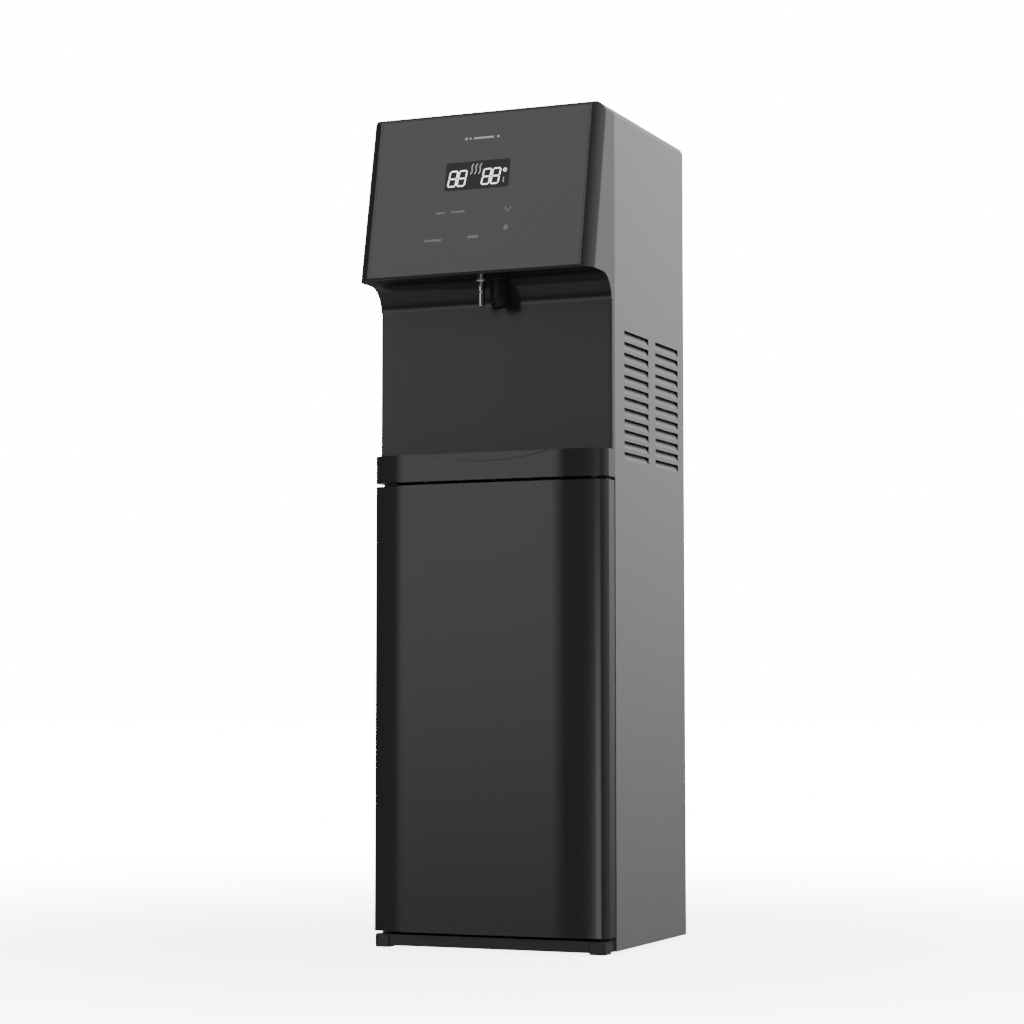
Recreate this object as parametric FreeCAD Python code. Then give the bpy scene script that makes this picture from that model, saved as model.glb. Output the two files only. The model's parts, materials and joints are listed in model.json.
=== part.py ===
"""Floor-standing bottom-load hot and cold water dispenser, in millimetres.

X runs to the viewer's right, Y from front to back and Z up from the floor. The helpers work with Y measured
from the seam where the moulded front meets the sheet-metal sides, and write_node shifts every
piece so that the origin is at the bottom centre of the whole dispenser.
"""
import FreeCAD, Part
import math
import os

V = FreeCAD.Vector

# Overall sizes
WIDTH = 313.0
HEIGHT = 1040.0
SIDE_DEPTH = 258.5
HEAD_OVERHANG = 81.5
REAR_OVERHANG = 20.0
CLEARANCE_UNDER = 4.0
FRONT_FEET_Y = 40.0
REAR_FEET_Y = 225.0
SHEET = 1.2
WALL = 2.5
HALF = WIDTH / 2

# Heights of the front, from the bottom up
PLINTH_TOP = 18.0
PLINTH_BLOCK_LOW = 2.0
DOOR_BOTTOM = 21.5
DOOR_TOP = 575.2
FASCIA_BOTTOM = 579.2
FASCIA_TOP = 613.4
COVE_BOTTOM = 798.0
HEAD_BOTTOM = 828.0
DECK_BOTTOM = 577.0
DECK_TOP = DECK_BOTTOM + 1.5
SHELF_BOTTOM = 790.0
SHELF_TOP = SHELF_BOTTOM + 1.5

# Front faces, measured from the seam
DOOR_FRONT = -37.0
DOOR_REAR = -1.5
PLINTH_FRONT = -30.0
PLINTH_HALF = 153.5
WALL_FRONT = -11.0
HEAD_TOP_FRONT = -39.0
SHOULDER_START = 84.0
SHOULDER_DROP = 7.0
CORNER = 10.0
HEAD_CORNER = 15.0
GLASS_HALF = 140.0
TOP_ROUND = 12.0
LIP_ROUND = 3.0

# The head's front leans back; its rounded lower lip is the foremost point of the dispenser
HEAD_LEAN = (HEAD_OVERHANG + HEAD_TOP_FRONT) / (HEIGHT - HEAD_BOTTOM)
LIP_Y = -HEAD_OVERHANG + LIP_ROUND * (HEAD_LEAN + math.hypot(1, HEAD_LEAN) - 1)
SEAM_Y = -(LIP_Y + SIDE_DEPTH + REAR_OVERHANG) / 2

# Side louvres
LOUVRE_ROWS = 12
LOUVRE_COLUMNS = ((33.0, 121.5), (147.0, 234.5))
LOUVRE_PITCH = 13.75
LOUVRE_HEIGHT = 9.0
LOUVRE_LEAN = 4.5
LOUVRE_TOP = 764.8

# Bottle bay
BAY_HALF = 146.0
LINER = 2.5
BAY_BACK = 250.0
BAY_FLOOR = 12.0

# Door hinge: the pins' axis, and the play between a pin and its bush
HINGE_X = HALF - 6.0
HINGE_Y = -9.5
PIN_R = 2.5
PIN_PLAY = 0.05

# Tap outlets and drip tray
SPOUT_Y = -32.0
COLD_X = -8.0
HOT_X = 16.0
TRAY_HALF = 89.0
TRAY_FLOOR = 594.6
SCOOP_HALF = 88.0
SCOOP_DROP = 11.4

# Tanks, compressor and condenser
COLD_TANK = (-76.0, 140.0)
COLD_TANK_R = 58.0
HOT_TANK = (78.0, 150.0)
HOT_TANK_R = 50.0
TANK_BOTTOM = 806.0
COLD_TANK_TOP = 970.0
HOT_TANK_TOP = 960.0
CAN_WALL = 2.0
COMPRESSOR = (-62.0, 150.0)
COMPRESSOR_R = 58.0
PUMP = (88.0, 194.0)
PROBE = (120.0, 222.0)
CONDENSER_Y = 273.5
CONDENSER_LOW = 640.0
CONDENSER_ROWS = 8
CONDENSER_PITCH = 45.0
CONDENSER_HALF = 108.0

# Rear switches
SWITCH_Z = 1000.0
SWITCH_PIVOT_Y = 257.4
SWITCH_TILT = 8.0
AXLE_R = 1.0
SWITCHES = {"hot_switch": -45.0, "cold_switch": -17.0}

DRAIN = (112.0, 604.0)
GLAND = (118.0, 60.0)


# ---------------------------------------------------------------- helpers

def box(x0, x1, y0, y1, z0, z1):
    return Part.makeBox(x1 - x0, y1 - y0, z1 - z0, V(x0, y0, z0))


def rod(x, y, z, radius, length, axis=V(0, 0, 1)):
    return Part.makeCylinder(radius, length, V(x, y, z), axis)


def path(points, closed):
    """Join (point, radius) pairs by straight runs, with a tangent arc of that radius at each."""
    count = len(points)
    ends = []
    for i, (corner, radius) in enumerate(points):
        if radius == 0 or (not closed and i in (0, count - 1)):
            ends.append((corner, None, corner))
            continue
        arriving = (corner - points[i - 1][0]).normalize()
        leaving = (points[(i + 1) % count][0] - corner).normalize()
        half_turn = arriving.getAngle(leaving) / 2
        tangent = radius * math.tan(half_turn)
        inward = (leaving - arriving).normalize()
        middle = corner + inward * (radius / math.cos(half_turn) - radius)
        ends.append((corner - arriving * tangent, middle, corner + leaving * tangent))
    edges = []
    for i, (start, middle, end) in enumerate(ends):
        if middle is not None:
            edges.append(Part.Arc(start, middle, end).toShape())
        following = ends[(i + 1) % count][0]
        last = i == count - 1
        if (closed or not last) and end.distanceToPoint(following) > 1e-6:
            edges.append(Part.LineSegment(end, following).toShape())
    return Part.Wire(edges)


def prism(corners, place, along):
    """Extrude an outline of (a, b) or (a, b, radius) corners, put in space by place."""
    points = [(place(c[0], c[1]), c[2] if len(c) > 2 else 0) for c in corners]
    return Part.Face(path(points, True)).extrude(along)


def prism_x(corners, x0, x1):
    return prism(corners, lambda y, z: V(x0, y, z), V(x1 - x0, 0, 0))


def prism_y(corners, y0, y1):
    return prism(corners, lambda x, z: V(x, y0, z), V(0, y1 - y0, 0))


def prism_z(corners, z0, z1):
    return prism(corners, lambda x, y: V(x, y, z0), V(0, 0, z1 - z0))


def turned(x, y, corners):
    """Revolve an outline of (radius, height, corner radius) about the upright line through x, y."""
    points = [(V(x + c[0], y, c[1]), c[2] if len(c) > 2 else 0) for c in corners]
    return Part.Face(path(points, True)).revolve(V(x, y, 0), V(0, 0, 1), 360)


def hose(radius, bend, *corners):
    """A round hose along straight runs joined by tangent arcs of one bend radius."""
    points = [(V(*corner), bend) for corner in corners]
    spine = path(points, False)
    start = points[0][0]
    section = Part.Wire(Part.Circle(start, points[1][0] - start, radius).toShape())
    return spine.makePipeShell([section], True, False)


def mirrored(shape):
    return shape.mirror(V(0, 0, 0), V(1, 0, 0))


def fuse(first, *others):
    return first.fuse(list(others)).removeSplitter()


def write_node(name, *solids):
    shape = solids[0] if len(solids) == 1 else Part.makeCompound(list(solids))
    shape = shape.copy()
    shape.translate(V(0, SEAM_Y, 0))
    shape.exportStep("parts/" + name + ".step")


# ---------------------------------------------------------------- cabinet

def side_panel():
    """Right-hand sheet side: rounded over at the top, folded in at the front, with two rows of louvres."""
    inner = HALF - SHEET
    lip = HALF - TOP_ROUND - 8.5
    section = [
        (HALF, CLEARANCE_UNDER), (HALF, HEIGHT, TOP_ROUND), (lip, HEIGHT),
        (lip, HEIGHT - SHEET), (inner, HEIGHT - SHEET, TOP_ROUND - SHEET), (inner, CLEARANCE_UNDER),
    ]
    panel = prism_y(section, 0, SIDE_DEPTH)
    fold = box(inner - 10, inner, 0, SHEET, CLEARANCE_UNDER, HEIGHT - TOP_ROUND)
    slots = []
    fins = []
    for y0, y1 in LOUVRE_COLUMNS:
        for row in range(LOUVRE_ROWS):
            low = LOUVRE_TOP - LOUVRE_HEIGHT - row * LOUVRE_PITCH
            fin_top = low + LOUVRE_HEIGHT - 0.6
            slots.append(box(inner - 1, HALF + 1, y0, y1, low, low + LOUVRE_HEIGHT))
            fins.append(prism_y([
                (HALF, low), (HALF - LOUVRE_LEAN, fin_top),
                (inner - LOUVRE_LEAN, fin_top), (inner, low),
            ], y0, y1))
    return fuse(panel.cut(slots), fold, *fins)


def top_cover():
    lip = HALF - TOP_ROUND - 8.5
    lid = box(-lip + 0.4, lip - 0.4, 0.4, SIDE_DEPTH, HEIGHT - 4, HEIGHT)
    tongue = box(-lip - 8, lip + 8, SHEET + 0.2, SIDE_DEPTH - SHEET, HEIGHT - 5, HEIGHT - SHEET - 0.2)
    return fuse(lid, tongue)


def back_panel():
    inner = HALF - SHEET
    top = HEIGHT - 6
    round_top = TOP_ROUND - SHEET
    panel = prism_y([
        (-inner, CLEARANCE_UNDER), (inner, CLEARANCE_UNDER),
        (inner, top, round_top), (-inner, top, round_top),
    ], SIDE_DEPTH - SHEET, SIDE_DEPTH)
    holes = [box(-68, 6, 250, 260, SWITCH_Z - 16, SWITCH_Z + 16)]
    holes.append(rod(DRAIN[0], 250, DRAIN[1], 5.5, 12, V(0, 1, 0)))
    holes.append(rod(GLAND[0], 250, GLAND[1], 8.0, 12, V(0, 1, 0)))
    for x in (-66, 14):
        for row in range(9):
            z = 640 + row * 14
            holes.append(box(x - 34, x + 34, 250, 260, z, z + 6))
    return panel.cut(holes)


def base_pan():
    inner = HALF - SHEET
    floor = box(-inner, inner, SHEET, SIDE_DEPTH - SHEET, BAY_FLOOR - 2.5, BAY_FLOOR)
    ribs = []
    for x in (-90, -45, 0, 45, 90):
        ribs.append(box(x - 2, x + 2, SHEET + 8, SIDE_DEPTH - SHEET - 8, BAY_FLOOR - 4.5, BAY_FLOOR - 2.5))
    return fuse(floor, *ribs)


def base_plinth():
    """Recessed bar below the door, with a deeper block at each front corner."""
    half = PLINTH_HALF
    bar = prism_z([
        (-half, 0), (-half, PLINTH_FRONT, 6), (half, PLINTH_FRONT, 6), (half, 0),
    ], CLEARANCE_UNDER, PLINTH_TOP)
    hollow = box(-118, 118, PLINTH_FRONT + WALL, -WALL, 0, PLINTH_TOP - WALL)
    front = PLINTH_FRONT - 1.5
    block = prism_z([
        (half - 21, -10), (half - 21, front, 2), (half, front, 6), (half, -10),
    ], PLINTH_BLOCK_LOW, PLINTH_TOP - 1)
    return fuse(bar.cut(hollow), block, mirrored(block))


def foot(x, y):
    stem_top = BAY_FLOOR - 2.5
    return turned(x, y, [
        (0, 0), (15, 0, 1), (16, CLEARANCE_UNDER), (8, CLEARANCE_UNDER), (8, stem_top), (0, stem_top),
    ])


def bay_side():
    wall = box(BAY_HALF, BAY_HALF + LINER, 1.4, BAY_BACK, BAY_FLOOR, DECK_BOTTOM)
    flange = box(BAY_HALF, HALF - SHEET, 1.4, 1.4 + LINER, BAY_FLOOR, DECK_BOTTOM)
    ribs = [box(BAY_HALF - 1, BAY_HALF, 30, 220, z, z + 6) for z in range(90, 520, 60)]
    return fuse(wall, flange, *ribs)


def bay_back():
    wall = box(-BAY_HALF, BAY_HALF, BAY_BACK - LINER, BAY_BACK, BAY_FLOOR, DECK_BOTTOM)
    ribs = [box(-110, 90, BAY_BACK - LINER - 1, BAY_BACK - LINER, z, z + 6) for z in range(90, 520, 60)]
    return fuse(wall, *ribs)


def bottle_mat():
    outline = [(-128, 4, 20), (128, 4, 20), (128, 240, 20), (-128, 240, 20)]
    mat = prism_z(outline, BAY_FLOOR, BAY_FLOOR + 1.5)
    rings = []
    for radius in (40, 80, 115):
        ring = rod(0, 122, BAY_FLOOR + 1, radius, 2)
        rings.append(ring.cut(rod(0, 122, BAY_FLOOR, radius - 4, 4)))
    return fuse(mat, *rings)


def deck(z0, z1, holes):
    inner = HALF - SHEET
    plate = box(-inner, inner, SHEET, SIDE_DEPTH - SHEET, z0, z1)
    return plate.cut([rod(x, y, z0 - 1, radius, 5) for x, y, radius in holes])


# ---------------------------------------------------------------- moulded front

def front_outline(inset, rear):
    """Plan of the door and fascia: flat middle, shoulders falling back on wide arcs, small corners."""
    half = HALF - inset
    shoulder = half - CORNER
    run = shoulder - SHOULDER_START
    radius = (run ** 2 + SHOULDER_DROP ** 2) / (2 * SHOULDER_DROP)
    front = DOOR_FRONT + inset
    bend = radius * math.tan(math.atan2(run, radius - SHOULDER_DROP) / 2)
    return [
        (-half, rear), (-half, front + SHOULDER_DROP + 0.9, CORNER - inset),
        (-SHOULDER_START - bend, front, radius), (SHOULDER_START + bend, front, radius),
        (half, front + SHOULDER_DROP + 0.9, CORNER - inset), (half, rear),
    ]


def head_front(z, inset):
    """Y of the leaning front face at height z, moved inwards by inset."""
    return -HEAD_OVERHANG + (z - HEAD_BOTTOM) * HEAD_LEAN + inset * math.hypot(1, HEAD_LEAN)


def head_block(inset, front_inset, rear):
    """The head's outer form moved inwards: side view, front view and leaning plan view, intersected."""
    low = HEAD_BOTTOM + inset
    high = HEIGHT - inset
    cove_back = WALL_FRONT + inset
    side_view = [
        (rear, COVE_BOTTOM + inset), (cove_back, COVE_BOTTOM + inset), (cove_back, low, 30),
        (head_front(low, front_inset), low, LIP_ROUND),
        (head_front(high, front_inset), high, 5), (rear, high),
    ]
    half = HALF - inset
    front_view = [
        (-half, COVE_BOTTOM - 10), (half, COVE_BOTTOM - 10), (half, high, TOP_ROUND - inset),
        (-half, high, TOP_ROUND - inset),
    ]
    lean = V(0, HEAD_LEAN, 1) * (1.5 * (HEIGHT - HEAD_BOTTOM))
    base = COVE_BOTTOM - 20
    nose = head_front(base, front_inset)
    corner = HEAD_CORNER - inset
    plan_view = [(-half, 120), (-half, nose, corner), (half, nose, corner), (half, 120)]
    leaning = prism(plan_view, lambda x, y: V(x, y, base), lean)
    block = prism_x(side_view, -HALF, HALF).common(prism_y(front_view, -120, 60))
    return block.common(leaning)


def glass_plate(half, low, high, outer, inner, round_corner):
    """A flat plate lying in the head's leaning front face, between two depths below it."""
    section = [
        (head_front(low, outer), low), (head_front(low, inner), low),
        (head_front(high, inner), high), (head_front(high, outer), high),
    ]
    front_view = [
        (-half, low, round_corner), (half, low, round_corner), (half, high, round_corner),
        (-half, high, round_corner),
    ]
    return prism_x(section, -half, half).common(prism_y(front_view, -120, 60))


def head_housing():
    shell = head_block(0, 0, 0).cut(head_block(WALL, 6.0, 5))
    pocket = glass_plate(GLASS_HALF + 0.3, HEAD_BOTTOM + 3, HEIGHT - 4.5, -5, 3.2, 3)
    window = glass_plate(50, 930, 976, 0, 10, 2)
    spouts = [rod(COLD_X, SPOUT_Y, 820, 5.0, 20), rod(HOT_X, SPOUT_Y, 820, 11.8, 20)]
    return shell.cut([pocket, window] + spouts)


def display_board():
    board = glass_plate(70, 862, 1000, 8.2, 9.8, 2)
    module = glass_plate(46, 934, 972, 3.4, 8.2, 1)
    return fuse(board, module)


def wall_panel():
    outline = [(-HALF, 0), (-HALF, WALL_FRONT, 3), (HALF, WALL_FRONT, 3), (HALF, 0)]
    block = prism_z(outline, FASCIA_TOP, COVE_BOTTOM)
    hollow = box(-HALF + WALL, HALF - WALL, WALL_FRONT + WALL, 1, FASCIA_TOP - 1, COVE_BOTTOM + 1)
    ribs = []
    for x in (-77, 0, 77):
        ribs.append(box(x - 1, x + 1, WALL_FRONT + WALL, 0, FASCIA_TOP, COVE_BOTTOM))
    for z in (675, 736):
        ribs.append(box(-HALF + WALL, HALF - WALL, WALL_FRONT + WALL, 0, z - 1, z + 1))
    return fuse(block.cut(hollow), *ribs)


def scoop_radius():
    return (SCOOP_HALF ** 2 + SCOOP_DROP ** 2) / (2 * SCOOP_DROP)


def shelf_fascia():
    """Shelf below the outlets: tray pocket from above, finger scoop in front, hollow from below."""
    block = prism_z(front_outline(0, 0), FASCIA_BOTTOM, FASCIA_TOP)
    pocket_half = TRAY_HALF + 0.6
    pocket = box(-pocket_half, pocket_half, -33.5, WALL_FRONT - 0.4, TRAY_FLOOR - 0.4, FASCIA_TOP + 1)
    radius = scoop_radius()
    scoop = rod(0, DOOR_FRONT - 1, FASCIA_TOP - SCOOP_DROP + radius, radius, 5, V(0, 1, 0))
    under = box(-134, 134, -31, -3, FASCIA_BOTTOM - 1, TRAY_FLOOR - 3)
    right_end = box(93, 134, -31, -3, FASCIA_BOTTOM - 1, FASCIA_TOP - WALL)
    ribs = []
    for x in (-92, -46, 0, 46, 92):
        ribs.append(box(x - 1, x + 1, -31, -3, FASCIA_BOTTOM + 1, TRAY_FLOOR - 3))
    return fuse(block.cut([pocket, scoop, under, right_end, mirrored(right_end)]), *ribs)


def cold_spout():
    tube = [(2.8, 795), (4.5, 795, 0.8), (4.5, 812), (4.9, 814), (4.9, 838), (2.8, 838)]
    return turned(COLD_X, SPOUT_Y, tube)


def hot_spout():
    nozzle = [(4.0, 792), (8.5, 792, 2), (11.5, 804, 3), (11.5, 838), (4.0, 838)]
    return turned(HOT_X, SPOUT_Y, nozzle)


# ---------------------------------------------------------------- drip tray

def drip_tray():
    """Basin with a crescent lip that fills the scoop in the fascia, flush with its face."""
    basin = box(-TRAY_HALF, TRAY_HALF, -32.9, -12.0, TRAY_FLOOR, FASCIA_TOP - 0.9)
    hollow = box(-TRAY_HALF + 1.8, TRAY_HALF - 1.8, -31.0, -13.8, TRAY_FLOOR + 1.8, FASCIA_TOP)
    radius = scoop_radius() - 0.6
    disc = rod(0, DOOR_FRONT + 0.3, FASCIA_TOP - SCOOP_DROP + scoop_radius(), radius, 5.7, V(0, 1, 0))
    lip = disc.common(box(-SCOOP_HALF, SCOOP_HALF, -40, -31, 590, FASCIA_TOP - 0.4))
    return fuse(basin, lip).cut(hollow)


def drip_grille():
    plate = box(-86.9, 86.9, -30.7, -14.1, 608.0, 610.0)
    slots = [box(x, x + 3, -28.5, -16.5, 607, 611) for x in range(-84, 82, 6)]
    legs = [box(x, x + 2.4, -28, -17, TRAY_FLOOR + 1.8, 608.0) for x in (-86.9, 84.5)]
    return fuse(plate.cut(slots), *legs)


# ---------------------------------------------------------------- door

def hinge_bush(z0, z1):
    block = box(144, HALF - WALL - 0.1, -15, -4, z0, z1)
    return block.cut(rod(HINGE_X, HINGE_Y, z0 - 1, PIN_R + PIN_PLAY, z1 - z0 + 2))


def door_skin():
    block = prism_z(front_outline(0, DOOR_REAR), DOOR_BOTTOM, DOOR_TOP)
    hollow = prism_z(front_outline(WALL, 0), DOOR_BOTTOM + WALL, DOOR_TOP - WALL)
    seats = [box(144, HALF - WALL - 0.1, -15, -4, z, z + 4) for z in (DOOR_BOTTOM - 1, DOOR_TOP - 3)]
    skin = block.cut([hollow] + seats)
    rear_edges = []
    for edge in skin.Edges:
        span = edge.BoundBox
        outermost = abs(abs(span.XMin) - HALF) < 0.01 and abs(span.YMin - DOOR_REAR) < 0.01
        if outermost and span.ZLength > 500:
            rear_edges.append(edge)
    return skin.makeFillet(2.2, rear_edges)


def door_liner():
    """Deep pan that gives the bottle room inside the door, with a rim that closes the door's back."""
    half = HALF - WALL - 0.1
    low = DOOR_BOTTOM + WALL + 0.1
    high = DOOR_TOP - WALL - 0.1
    rim = box(-half, half, -4, DOOR_REAR, low, high)
    pan = box(-118, 118, -32.6, DOOR_REAR, 46, 552)
    hollow = prism_z([(-116, 0), (-116, -30.6, 6), (116, -30.6, 6), (116, 0)], 48, 550)
    return fuse(rim, pan).cut(hollow)


def door_gasket():
    ring = box(-143, 143, DOOR_REAR, -0.7, 33, 565)
    return ring.cut(box(-139, 139, -3, 0, 37, 561))


# ---------------------------------------------------------------- water system

def can(x, y, radius, low, high, corner):
    """A closed thin-walled can with rounded ends."""
    outer = turned(x, y, [(0, low), (radius, low, corner), (radius, high, corner), (0, high)])
    room = radius - CAN_WALL
    floor = low + CAN_WALL
    lid = high - CAN_WALL
    bend = corner - CAN_WALL
    return outer.cut(turned(x, y, [(0, floor), (room, floor, bend), (room, lid, bend), (0, lid)]))


def cold_tank():
    x, y = COLD_TANK
    return can(x, y, COLD_TANK_R, TANK_BOTTOM, COLD_TANK_TOP, 14)


def evaporator_coil():
    x, y = COLD_TANK
    rings = [Part.makeTorus(COLD_TANK_R + 3.2, 3, V(x, y, z)) for z in range(835, 945, 12)]
    header = rod(x + COLD_TANK_R + 3.2, y, 835, 2.6, 108)
    return fuse(header, *rings)


def cold_tank_foam():
    x, y = COLD_TANK
    block = box(x - 72, x + 72, y - 72, y + 72, SHELF_TOP, 985)
    hollow = turned(x, y, [(0, 805.5), (COLD_TANK_R + 7, 805.5), (COLD_TANK_R + 7, 971), (0, 971)])
    ports = [rod(x, y, 965, 5, 25), rod(x + 34, y + 20, 780, 5, 30)]
    return block.cut([hollow] + ports)


def hot_tank():
    x, y = HOT_TANK
    return can(x, y, HOT_TANK_R, TANK_BOTTOM, HOT_TANK_TOP, 12)


def heater_band():
    x, y = HOT_TANK
    inner = HOT_TANK_R + 0.2
    outer = HOT_TANK_R + 3.5
    band = turned(x, y, [(inner, 836), (outer, 836), (outer, 896), (inner, 896)])
    lug = box(x - 6, x + 6, y - HOT_TANK_R - 4.6, y - HOT_TANK_R - 1.5, 855, 877)
    return fuse(band, lug)


def hot_tank_jacket():
    x, y = HOT_TANK
    outer = turned(x, y, [(0, SHELF_TOP), (63, SHELF_TOP), (63, 974), (0, 974)])
    inner = turned(x, y, [(0, 805.5), (HOT_TANK_R + 5, 805.5), (HOT_TANK_R + 5, 961), (0, 961)])
    return outer.cut([inner, rod(x, y, 955, 5, 25)])


def compressor():
    x, y = COMPRESSOR
    body = turned(x, y, [
        (0, 596), (COMPRESSOR_R - 4, 596, 8), (COMPRESSOR_R, 660, 20),
        (COMPRESSOR_R - 6, 740, 30), (0, 748),
    ])
    motor_room = rod(x, y, 606, 40, 124)
    plate = box(x - 70, x + 70, y - 62, y + 62, 591, 594)
    legs = [box(x + dx - 12, x + dx + 12, y - 40, y + 40, 594, 610) for dx in (-54, 54)]
    return fuse(body, plate, *legs).cut(motor_room)


def compressor_mounts():
    x, y = COMPRESSOR
    return [rod(x + dx, y + dy, DECK_TOP, 9, 591 - DECK_TOP) for dx in (-58, 58) for dy in (-50, 50)]


def water_pump():
    x, y = PUMP
    motor = turned(x, y, [(0, DECK_TOP), (22, DECK_TOP), (22, 650), (0, 650)])
    head = box(x - 24, x + 24, y - 24, y + 24, 650, 684)
    ports = [rod(x + dx, y + dy, 684, 4, 8) for dx, dy in ((8, 7), (-8, -7))]
    return fuse(motor, head, *ports)


def suction_hose():
    x, y = PROBE
    port_x, port_y = PUMP[0] + 8, PUMP[1] + 7
    level = 722
    return hose(4.5, 10, (x, y, 549), (x, y, level), (port_x, port_y, level), (port_x, port_y, 692))


def feed_hose():
    x, y = PUMP[0] - 8, PUMP[1] - 7
    inlet_x, inlet_y = COLD_TANK[0] + 34, COLD_TANK[1] + 20
    level = 768
    return hose(4.5, 15, (x, y, 692), (x, y, level), (inlet_x, inlet_y, level), (inlet_x, inlet_y, 805.5))


def dispense_hoses(spout_x, valve_x, tank, tank_top):
    x, y = tank
    level = 1008
    front = hose(4, 14, (spout_x, SPOUT_Y, 838), (spout_x, SPOUT_Y, 872), (spout_x, 5, 872))
    back = hose(4, 20, (valve_x, 22, 900), (valve_x, 22, level), (x, y, level), (x, y, tank_top))
    return [front, back]


def dispense_valves():
    valves = []
    for x0 in (-30.0, 6.0):
        body = box(x0, x0 + 32, 5, 38, 858, 890)
        coil = rod(x0 + 16, 22, 890, 12, 10)
        valves.append(fuse(body, coil))
    return valves


def suction_probe():
    x, y = PROBE
    cap = turned(x, y, [(0, 522), (24, 522, 3), (24, 541, 4), (9, 545), (9, 549), (0, 549)])
    return fuse(cap, rod(x, y, 130, 5, 392))


def probe_clip():
    x, y = PROBE
    arm = box(x - 9, x + 9, y + 3, BAY_BACK - LINER, 300, 316)
    return arm.cut([rod(x, y, 290, 5.3, 40), box(x - 3.5, x + 3.5, y - 9, y + 4, 290, 330)])


# ---------------------------------------------------------------- cooling and electrics

def condenser_tube():
    """Serpentine: level runs joined by half-circle bends, alternately right and left."""
    solids = []
    for row in range(CONDENSER_ROWS):
        z = CONDENSER_LOW + row * CONDENSER_PITCH
        solids.append(rod(-CONDENSER_HALF, CONDENSER_Y, z, 2.5, 2 * CONDENSER_HALF, V(1, 0, 0)))
        if row < CONDENSER_ROWS - 1:
            side = 1 if row % 2 == 0 else -1
            centre = V(side * CONDENSER_HALF, CONDENSER_Y, z + CONDENSER_PITCH / 2)
            bend = Part.makeTorus(CONDENSER_PITCH / 2, 2.5, centre, V(0, 1, 0))
            half = box(0, 40, 262, 285, z - 20, z + CONDENSER_PITCH + 20)
            half.translate(V(side * CONDENSER_HALF - (0 if side > 0 else 40), 0, 0))
            solids.append(bend.common(half))
    return fuse(*solids)


def condenser_wires():
    low = CONDENSER_LOW - 8
    length = (CONDENSER_ROWS - 1) * CONDENSER_PITCH + 16
    wires = []
    for dy in (-3.35, 3.35):
        for i in range(18):
            wires.append(rod(-93.5 + i * 11, CONDENSER_Y + dy, low, 0.8, length))
    return wires


def condenser_brackets():
    top = CONDENSER_LOW + (CONDENSER_ROWS - 1) * CONDENSER_PITCH
    bars = []
    for x in (-102.0, 98.0):
        bar = box(x, x + 4, SIDE_DEPTH, CONDENSER_Y - 2.55, CONDENSER_LOW - 12, top + 12)
        rear = SIDE_DEPTH + REAR_OVERHANG
        feet = [box(x, x + 4, SIDE_DEPTH, rear, z, z + 8) for z in (CONDENSER_LOW - 20, top + 12)]
        bars.append(fuse(bar, *feet))
    return bars


def switch_plate():
    plate = box(-68, 6, SIDE_DEPTH, SIDE_DEPTH + 2, SWITCH_Z - 16, SWITCH_Z + 16)
    tub = box(-64, 2, 246, SIDE_DEPTH, SWITCH_Z - 13, SWITCH_Z + 13)
    cuts = []
    for x in SWITCHES.values():
        cuts.append(box(x - 6.9, x + 6.9, 248, 262, SWITCH_Z - 10, SWITCH_Z + 10))
        cuts.append(rod(x - 9, SWITCH_PIVOT_Y, SWITCH_Z, AXLE_R + PIN_PLAY, 18, V(1, 0, 0)))
    return fuse(plate, tub).cut(cuts)


def rocker(x):
    """Rocker key with a shallow V face, lying pressed at its lower end."""
    y, z = SWITCH_PIVOT_Y, SWITCH_Z
    section = [(y - 3, z - 6), (y + 4.2, z - 8.6), (y + 3.2, z), (y + 4.2, z + 8.6), (y - 3, z + 6)]
    key = prism_x(section, x - 6.5, x + 6.5)
    key.rotate(V(x, y, z), V(1, 0, 0), -SWITCH_TILT)
    return fuse(key, rod(x - 8.5, y, z, AXLE_R, 17, V(1, 0, 0)))


def power_board():
    board = box(-60, 60, 8, 9.6, 640, 760)
    transformer = box(-50, -20, 9.6, 35, 650, 680)
    relay = box(10, 45, 9.6, 30, 700, 745)
    capacitor = rod(-35, 9.6, 730, 8, 25, V(0, 1, 0))
    posts = [rod(x, 1.4, z, 3, 6.6, V(0, 1, 0)) for x in (-52, 52) for z in (646, 754)]
    return fuse(board, transformer, relay, capacitor, *posts)


def cord_gland():
    x, z = GLAND
    flange = rod(x, SIDE_DEPTH, z, 12, 3, V(0, 1, 0))
    neck = rod(x, SIDE_DEPTH - 5, z, 8, 12, V(0, 1, 0))
    return fuse(flange, neck).cut(rod(x, 240, z, 4.0, 40, V(0, 1, 0)))


def drain_spigot():
    x, z = DRAIN
    tube = rod(x, 246, z, 4.6, 20, V(0, 1, 0))
    flange = rod(x, SIDE_DEPTH, z, 9, 1.5, V(0, 1, 0))
    return fuse(tube, flange).cut(rod(x, 240, z, 3, 40, V(0, 1, 0)))


def drain_plug():
    x, z = DRAIN
    cap = rod(x, 261, z, 8, 11, V(0, 1, 0))
    return cap.cut(rod(x, 260, z, 4.65, 6.4, V(0, 1, 0)))


def hinge_brackets():
    plates = []
    for z0, z1 in ((PLINTH_TOP, PLINTH_TOP + 2.0), (FASCIA_BOTTOM - 2.0, FASCIA_BOTTOM)):
        plate = prism_z([(138, -3), (138, -18, 4), (154, -18, 4), (154, -3)], z0, z1)
        plates.append(plate.cut(rod(HINGE_X, HINGE_Y, z0 - 1, PIN_R, 6)))
    return plates


def hinge_pins():
    return [
        rod(HINGE_X, HINGE_Y, PLINTH_TOP, PIN_R, 16),
        rod(HINGE_X, HINGE_Y, DOOR_TOP - 13, PIN_R, FASCIA_BOTTOM - DOOR_TOP + 13),
    ]


# ---------------------------------------------------------------- write every node

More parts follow.
